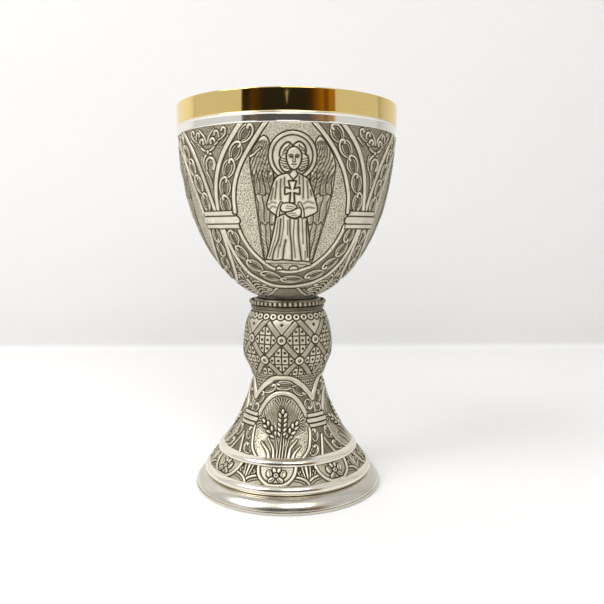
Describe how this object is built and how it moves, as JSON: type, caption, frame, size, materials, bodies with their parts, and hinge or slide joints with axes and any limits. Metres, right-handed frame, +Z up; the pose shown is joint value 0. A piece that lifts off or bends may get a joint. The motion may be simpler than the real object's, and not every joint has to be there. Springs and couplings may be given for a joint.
{
  "type": "communion chalice",
  "caption": "Footed cup for communion: gilt cup in a chased silver shell, on a beaded collar, a latticed knop and a flared round foot, held together by a rod.",
  "frame": {"origin": "centre of the circle on which the foot stands", "axes": "+Z up along the chalice's axis; -Y is the front, where one medallion faces, turned a few degrees towards +X"},
  "size_m": [0.097, 0.097, 0.17],
  "materials": {
    "gilt": "polished gilding over brass",
    "polished_silver": "polished silver plate",
    "brushed_silver": "satin silver plate, brushed in circles round the axis",
    "chased_silver": "chased silver plate, darkened in its hollows and rubbed bright on its raised parts",
    "dark_silver": "turned silver plate, darkened",
    "fixing_steel": "plain machined steel"
  },
  "bodies": {
    "root": {"gilt_cup": "gilt", "rim_band": "polished_silver", "calyx_shell": "chased_silver", "stud_plate": "dark_silver", "neck_collar": "dark_silver", "bead_ring": "chased_silver", "knop_top_ring": "polished_silver", "pedestal_shell": "chased_silver", "upper_foot_ring": "polished_silver", "flower_border": "chased_silver", "lower_foot_ring": "polished_silver", "base_ring": "brushed_silver", "tie_rod": "fixing_steel", "pressure_washer": "fixing_steel", "spring_washer": "fixing_steel", "clamp_nut": "fixing_steel"}
  },
  "joints": []
}
